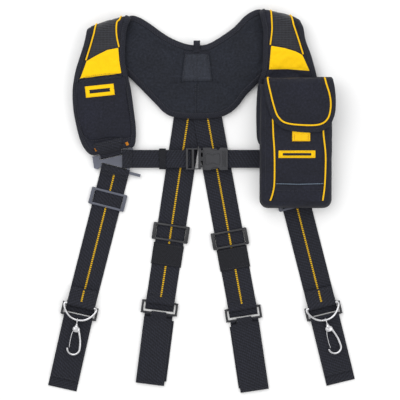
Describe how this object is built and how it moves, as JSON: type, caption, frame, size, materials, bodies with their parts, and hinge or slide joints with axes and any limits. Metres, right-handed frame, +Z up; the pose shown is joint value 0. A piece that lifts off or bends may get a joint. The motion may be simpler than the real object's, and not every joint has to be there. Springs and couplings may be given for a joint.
{
  "type": "tool belt suspenders",
  "caption": "Padded work suspenders for a tool belt: folded shoulder pads, chest buckle, leg straps with belt loops and snap hooks, and a flap pouch.",
  "frame": {"origin": "on the surface that the harness lies on, under the middle of its bounding box", "axes": "+Z up off that surface, +Y towards the shoulders, +X towards the side with the pouch"},
  "size_m": [0.5358, 0.6743, 0.0639],
  "materials": {
    "shell_fabric": "woven, matte",
    "lining_fabric": "soft knit, matte",
    "foam": "open cell, matte",
    "webbing": "ribbed weave, matte",
    "yellow_fabric": "woven, matte",
    "grey_plastic": "moulded, fine grain",
    "black_plastic": "moulded, fine grain",
    "steel": "polished"
  },
  "bodies": {
    "back": {"yoke_shell": "shell_fabric", "yoke_foam": "foam", "yoke_lining": "lining_fabric", "yoke_binding": "shell_fabric", "yoke_patch": "lining_fabric", "hang_loop": "webbing", "back_strap_left": "webbing", "back_strap_right": "webbing", "back_rings": "black_plastic", "back_under_tongues": "webbing"},
    "front": {"pad_shell_left": "shell_fabric", "pad_foam_left": "foam", "pad_face_left": "shell_fabric", "pad_binding_left": "shell_fabric", "pad_shell_right": "shell_fabric", "pad_foam_right": "foam", "pad_face_right": "shell_fabric", "pad_binding_right": "shell_fabric", "mesh_panels": "lining_fabric", "accent_panels": "yellow_fabric", "pad_pipings": "yellow_fabric", "patch_pocket": "shell_fabric", "name_patch": "yellow_fabric", "pad_loops": "webbing", "strap_link_left": "grey_plastic", "strap_link_right": "grey_plastic", "front_strap_left": "webbing", "front_strap_right": "webbing", "front_rings": "black_plastic", "front_tongues": "webbing", "chest_strap_left": "webbing", "chest_strap_right": "webbing", "buckle_female": "grey_plastic", "pouch_body": "shell_fabric", "pouch_back": "shell_fabric", "pouch_pipings": "yellow_fabric", "pull_tab": "yellow_fabric", "pouch_badge": "yellow_fabric", "pouch_hem": "shell_fabric"},
    "flap": {"pouch_flap": "shell_fabric", "flap_piping": "yellow_fabric"},
    "buckle_tongue": {"buckle_male": "grey_plastic", "buckle_latches": "grey_plastic"},
    "front_slider_left": {"front_slider_left": "grey_plastic"},
    "front_slider_right": {"front_slider_right": "grey_plastic"},
    "back_slider_left": {"back_slider_left": "black_plastic"},
    "back_slider_right": {"back_slider_right": "black_plastic"},
    "back_keeper_left": {"back_keeper_left": "webbing"},
    "back_keeper_right": {"back_keeper_right": "webbing"},
    "chest_keeper": {"chest_keeper": "webbing"},
    "tongue_left": {"back_tongue_left": "webbing"},
    "tongue_right": {"back_tongue_right": "webbing"},
    "d_ring_left": {"d_ring_left": "steel", "hook_eye_left": "steel"},
    "d_ring_right": {"d_ring_right": "steel", "hook_eye_right": "steel"},
    "hook_left": {"hook_left": "steel"},
    "hook_right": {"hook_right": "steel"},
    "gate_left": {"hook_gate_left": "steel"},
    "gate_right": {"hook_gate_right": "steel"}
  },
  "joints": [
    {"name": "shoulder_fold", "type": "hinge", "parent": "back", "child": "front", "pos_m": [0, 0.343, 0.018], "axis": [-1, 0, 0], "range_deg": [0, 150]},
    {"name": "pouch_flap_lift", "type": "hinge", "parent": "front", "child": "flap", "pos_m": [0.1695, 0.21372, 0.03028], "axis": [-1, 0, 0], "range_deg": [0, 90]},
    {"name": "buckle_release", "type": "slide", "parent": "front", "child": "buckle_tongue", "axis": [-1, 0, 0], "range_m": [0, 0.032], "deforming": ["chest_strap_left", "buckle_latches"]},
    {"name": "front_slider_slide_left", "type": "slide", "parent": "front", "child": "front_slider_left", "axis": [-0.247, -0.969, 0], "range_m": [-0.02, 0.06]},
    {"name": "front_slider_slide_right", "type": "slide", "parent": "front", "child": "front_slider_right", "axis": [0.247, -0.969, 0], "range_m": [-0.02, 0.06]},
    {"name": "back_slider_slide_left", "type": "slide", "parent": "back", "child": "back_slider_left", "axis": [-0.1495, -0.9888, 0], "range_m": [-0.05, 0]},
    {"name": "back_slider_slide_right", "type": "slide", "parent": "back", "child": "back_slider_right", "axis": [0.1805, -0.9836, 0], "range_m": [-0.05, 0]},
    {"name": "back_keeper_slide_left", "type": "slide", "parent": "back", "child": "back_keeper_left", "axis": [-0.1495, -0.9888, 0], "range_m": [0, 0.04]},
    {"name": "back_keeper_slide_right", "type": "slide", "parent": "back", "child": "back_keeper_right", "axis": [0.1805, -0.9836, 0], "range_m": [0, 0.04]},
    {"name": "chest_keeper_slide", "type": "slide", "parent": "front", "child": "chest_keeper", "axis": [-1, 0, 0], "range_m": [0, 0.045]},
    {"name": "tongue_lift_left", "type": "hinge", "parent": "back", "child": "tongue_left", "pos_m": [-0.07473, -0.19662, 0.0038], "axis": [-0.9921, 0.1253, 0], "range_deg": [0, 150]},
    {"name": "tongue_lift_right", "type": "hinge", "parent": "back", "child": "tongue_right", "pos_m": [0.07496, -0.20641, 0.0038], "axis": [-0.9893, -0.1461, 0], "range_deg": [0, 150]},
    {"name": "d_ring_lift_left", "type": "hinge", "parent": "front", "child": "d_ring_left", "pos_m": [-0.21146, -0.18238, 0.0086], "axis": [-0.9759, 0.2181, 0], "range_deg": [0, 150]},
    {"name": "hook_swivel_left", "type": "hinge", "parent": "d_ring_left", "child": "hook_left", "pos_m": [-0.21807, -0.21509, 0.0103], "axis": [-0.1271, -0.9919, 0], "range_deg": [-15, 15]},
    {"name": "hook_gate_left", "type": "hinge", "parent": "hook_left", "child": "gate_left", "pos_m": [-0.22176, -0.2242, 0.0103], "axis": [0, 0, 1], "range_deg": [0, 25], "stiffness_Nm_per_rad": 0.02, "springref_deg": -2.86},
    {"name": "d_ring_lift_right", "type": "hinge", "parent": "front", "child": "d_ring_right", "pos_m": [0.21146, -0.18238, 0.0086], "axis": [-0.9715, -0.2368, 0], "range_deg": [0, 150]},
    {"name": "hook_swivel_right", "type": "hinge", "parent": "d_ring_right", "child": "hook_right", "pos_m": [0.22003, -0.21463, 0.0103], "axis": [0.3256, -0.9455, 0], "range_deg": [-15, 15]},
    {"name": "hook_gate_right", "type": "hinge", "parent": "hook_right", "child": "gate_right", "pos_m": [0.22076, -0.22443, 0.0103], "axis": [0, 0, 1], "range_deg": [0, 25], "stiffness_Nm_per_rad": 0.02, "springref_deg": -2.86}
  ]
}
